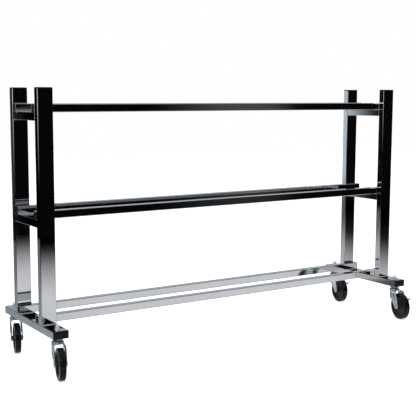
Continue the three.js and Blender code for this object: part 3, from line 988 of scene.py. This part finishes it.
def place_camera():
    yaw, pitch, roll = (math.radians(angle) for angle in (CAMERA_YAW, CAMERA_PITCH, CAMERA_ROLL))
    forward = Vector((-math.sin(yaw) * math.cos(pitch), math.cos(yaw) * math.cos(pitch), math.sin(pitch)))
    right = Vector((math.cos(yaw), math.sin(yaw), 0))
    up = right.cross(forward)
    side = math.cos(roll) * right + math.sin(roll) * up
    over = -math.sin(roll) * right + math.cos(roll) * up
    place = (CART_X + CAMERA_PLACE[0], CART_Y + CAMERA_PLACE[1], CAMERA_PLACE[2])
    data = bpy.data.cameras.new("camera")
    data.sensor_width = 36
    data.lens = CAMERA_LENS
    data.clip_start = 0.05
    data.clip_end = 100
    camera = bpy.data.objects.new("camera", data)
    bpy.context.scene.collection.objects.link(camera)
    matrix = Matrix.Identity(4)
    for row in range(3):
        matrix[row][0], matrix[row][1], matrix[row][2] = side[row], over[row], -forward[row]
        matrix[row][3] = place[row]
    camera.matrix_world = matrix
    bpy.context.scene.camera = camera


# The stage, in metres from the middle of the cart
FLOOR_CORNERS = [(-9, -2.6, 0), (9, -2.6, 0), (9, 9, 0), (-9, 9, 0)]
FLOOR_Z = -0.0004
BACKDROP_CORNERS = [(-1.9, 0, 0), (5.5, 0, 0), (5.5, 0, 2.6), (-1.9, 0, 2.6)]
BACKDROP_Y = 2.35
LEFT_CLOTH_CORNERS = [(0, -2.4, 0), (0, 1.6, 0), (0, 1.6, 2.4), (0, -2.4, 2.4)]
LEFT_CLOTH_X = -1.9

# The way to a dim doorway at the front right, which the metal mirrors, and the way across it
DOORWAY_AHEAD = (0.559, -0.829, 0)
DOORWAY_ACROSS = (0.829, 0.559, 0)


class Graph:
    """Small helpers for the stage's materials."""

    def __init__(self, tree):
        self.nodes, self.links = tree.nodes, tree.links
        self.nodes.clear()

    def put(self, socket, value):
        if isinstance(value, (int, float)):
            socket.default_value = value
        else:
            self.links.new(value, socket)

    def math(self, operation, first, second):
        node = self.nodes.new("ShaderNodeMath")
        node.operation = operation
        self.put(node.inputs[0], first)
        self.put(node.inputs[1], second)
        return node.outputs[0]

    def product(self, *factors):
        whole = factors[0]
        for factor in factors[1:]:
            whole = self.math("MULTIPLY", whole, factor)
        return whole

    def size(self, value):
        return self.math("ABSOLUTE", value, 0.0)

    def fade(self, source, start, end, low, high, smooth=True):
        """From low at start to high at end."""
        node = self.nodes.new("ShaderNodeMapRange")
        node.interpolation_type = "SMOOTHSTEP" if smooth else "LINEAR"
        self.put(node.inputs["Value"], source)
        for name, value in (("From Min", start), ("From Max", end), ("To Min", low), ("To Max", high)):
            node.inputs[name].default_value = value
        return node.outputs["Result"]

    def blend(self, share, first, second):
        node = self.nodes.new("ShaderNodeMix")
        node.data_type = "RGBA"
        self.put(node.inputs[0], share)
        node.inputs[6].default_value = (*first, 1)
        node.inputs[7].default_value = (*second, 1)
        return node.outputs[2]

    def split(self, vector):
        node = self.nodes.new("ShaderNodeSeparateXYZ")
        self.links.new(vector, node.inputs[0])
        return node.outputs

    def along(self, vector, direction):
        """The cosine of the angle between a unit vector and a direction."""
        node = self.nodes.new("ShaderNodeVectorMath")
        node.operation = "DOT_PRODUCT"
        self.links.new(vector, node.inputs[0])
        node.inputs[1].default_value = Vector(direction).normalized()
        return node.outputs["Value"]

    def near(self, vector, direction, start, end):
        """How near a direction lies to another: 0 at the cosine start, 1 at the cosine end."""
        return self.fade(self.along(vector, direction), start, end, 0, 1)


def flat_sheet(name, corners, place):
    mesh = bpy.data.meshes.new(name)
    mesh.from_pydata(corners, [], [tuple(range(len(corners)))])
    material = bpy.data.materials.new(name)
    material.use_nodes = True
    mesh.materials.append(material)
    sheet = bpy.data.objects.new(name, mesh)
    sheet.location = place
    bpy.context.scene.collection.objects.link(sheet)
    return sheet, Graph(material.node_tree)


def build_floor():
    """A white floor, which metal mirrors as a painted pool of light round the cart, with a painted shadow
    under it.
    """
    graph = flat_sheet("floor", FLOOR_CORNERS, (CART_X, CART_Y, FLOOR_Z))[1]
    nodes, links = graph.nodes, graph.links
    x, y = graph.split(nodes.new("ShaderNodeTexCoord").outputs["Object"])[:2]
    path = nodes.new("ShaderNodeLightPath")
    # Painted shadow under the cart, in the glow that only mirrors see
    beside = graph.fade(graph.size(y), 0.3, 0.52, 0.14, 1)
    beyond = graph.fade(graph.size(x), 0.48, 0.7, 0.14, 1)
    pool = graph.product(
        0.88,
        graph.fade(y, -2.38, -0.95, 0, 1),
        graph.fade(y, 0.0, 2.3, 1, 0.3, smooth=False),
        graph.fade(y, 2.25, 2.55, 1, 0.05),
        graph.fade(x, -1.1, -0.3, 0.5, 1),
        graph.fade(x, 0.8, 2.15, 1, 0.02),
        graph.math("MAXIMUM", beside, beyond),
    )
    seen = nodes.new("ShaderNodeEmission")
    seen.inputs["Color"].default_value = (1, 1, 1, 1)
    away = graph.math("ADD", graph.math("MULTIPLY", x, x), graph.math("MULTIPLY", y, y))
    white = graph.fade(away, 1.5, 9, 0.72, 0.98)
    links.new(graph.product(white, path.outputs["Is Camera Ray"]), seen.inputs["Strength"])
    diffuse = nodes.new("ShaderNodeBsdfDiffuse")
    diffuse.inputs["Color"].default_value = (0.85, 0.85, 0.85, 1)
    add = nodes.new("ShaderNodeAddShader")
    links.new(diffuse.outputs[0], add.inputs[0])
    links.new(seen.outputs[0], add.inputs[1])
    mirrored_light = nodes.new("ShaderNodeEmission")
    tone = graph.blend(graph.fade(x, -1.0, -0.4, 0, 1), (0.84, 0.94, 1.0), (0.975, 0.98, 1.0))
    links.new(tone, mirrored_light.inputs["Color"])
    links.new(pool, mirrored_light.inputs["Strength"])
    choice = nodes.new("ShaderNodeMixShader")
    links.new(path.outputs["Is Glossy Ray"], choice.inputs[0])
    links.new(add.outputs[0], choice.inputs[1])
    links.new(mirrored_light.outputs[0], choice.inputs[2])
    output = nodes.new("ShaderNodeOutputMaterial")
    links.new(choice.outputs[0], output.inputs["Surface"])


def cloth(name, corners, place, color):
    """A glowing upright sheet, which only the metal sees."""
    sheet, graph = flat_sheet(name, corners, place)
    for kind in ("camera", "diffuse", "transmission", "volume_scatter", "shadow"):
        setattr(sheet, "visible_" + kind, False)
    glow = graph.nodes.new("ShaderNodeEmission")
    glow.inputs["Color"].default_value = (*color, 1)
    output = graph.nodes.new("ShaderNodeOutputMaterial")
    graph.links.new(glow.outputs[0], output.inputs["Surface"])
    spot = graph.split(graph.nodes.new("ShaderNodeTexCoord").outputs["Object"])
    return graph, glow.inputs["Strength"], spot


def build_backdrop():
    place = (CART_X, CART_Y + BACKDROP_Y, 0)
    graph, strength, spot = cloth("backdrop", BACKDROP_CORNERS, place, (0.8, 0.91, 1.0))
    x, z = spot[0], spot[2]
    graph.links.new(graph.product(
        graph.math("POWER", graph.fade(x, -1.73, -1.27, 0, 1), 2.0),
        graph.fade(x, -1.2, 0.2, 0.85, 0.55),
        graph.fade(z, 0.08, 0.3, 0.2, 1),
        graph.fade(z, 0.9, 1.2, 1, 0.08),
    ), strength)


def build_left_cloth():
    place = (CART_X + LEFT_CLOTH_X, CART_Y, 0)
    graph, strength, spot = cloth("left_cloth", LEFT_CLOTH_CORNERS, place, (1.0, 0.97, 0.985))
    y, z = spot[1], spot[2]
    graph.links.new(graph.product(
        graph.fade(y, -2.4, -1.8, 0, 1),
        graph.fade(y, 0.9, 1.6, 1, 0),
        graph.fade(z, 0.42, 0.92, 0, 1),
    ), strength)


def build_world():
    """White to the camera, and to the metal a dark room with pale light over it and a dim doorway."""
    world = bpy.data.worlds.new("studio")
    bpy.context.scene.world = world
    world.use_nodes = True
    graph = Graph(world.node_tree)
    nodes, links = graph.nodes, graph.links
    way = nodes.new("ShaderNodeTexCoord").outputs["Generated"]
    room = 0.003
    for direction, start, end, strength in (
        ((0.8, 0.1, 0.6), 0.7, 0.95, 0.3),
        ((0, 0, 1), 0.5, 0.95, 0.55),
    ):
        room = graph.math("ADD", room, graph.product(graph.near(way, direction, start, end), strength))
    aside, up = graph.along(way, DOORWAY_ACROSS), graph.along(way, (0, 0, 1))
    doorway = graph.product(
        0.08,
        graph.near(way, DOORWAY_AHEAD, 0, 0.1),
        graph.fade(aside, -0.08, 0.01, 0, 1),
        graph.fade(aside, 0.045, 0.085, 1, 0),
        graph.fade(up, -0.17, -0.03, 0, 1),
        graph.fade(up, 0.03, 0.17, 1, 0),
    )
    room = graph.math("ADD", room, doorway)
    path = nodes.new("ShaderNodeLightPath")
    lit = graph.math("ADD", graph.product(path.outputs["Is Glossy Ray"], room),
                     graph.product(path.outputs["Is Diffuse Ray"], 0.24))
    seen = graph.math("MAXIMUM", path.outputs["Is Camera Ray"], path.outputs["Is Transmission Ray"])
    background = nodes.new("ShaderNodeBackground")
    background.inputs["Color"].default_value = (1, 1, 1, 1)
    links.new(graph.math("ADD", lit, seen), background.inputs["Strength"])
    output = nodes.new("ShaderNodeOutputWorld")
    links.new(background.outputs[0], output.inputs["Surface"])


def build_light(name, place, target, width, height, power, in_mirrors):
    data = bpy.data.lights.new(name, "AREA")
    data.shape = "RECTANGLE"
    data.size, data.size_y = width, height
    data.energy = power
    light = bpy.data.objects.new(name, data)
    bpy.context.scene.collection.objects.link(light)
    light.location = place
    light.rotation_mode = "QUATERNION"
    light.rotation_quaternion = (Vector(target) - Vector(place)).to_track_quat("-Z", "Y")
    light.visible_camera = False
    light.visible_glossy = in_mirrors


place_camera()
build_floor()
build_backdrop()
build_left_cloth()
build_world()
build_light("key", place=(-2.4, -2.2, 2.6), target=(0, 0, 0.4), width=1.8, height=1.8,
            power=80, in_mirrors=True)
build_light("top", place=(0.4, 0.4, 3.2), target=(0, 0, 0), width=3.0, height=2.0,
            power=62, in_mirrors=False)

scene = bpy.context.scene
scene.view_settings.view_transform = "Standard"
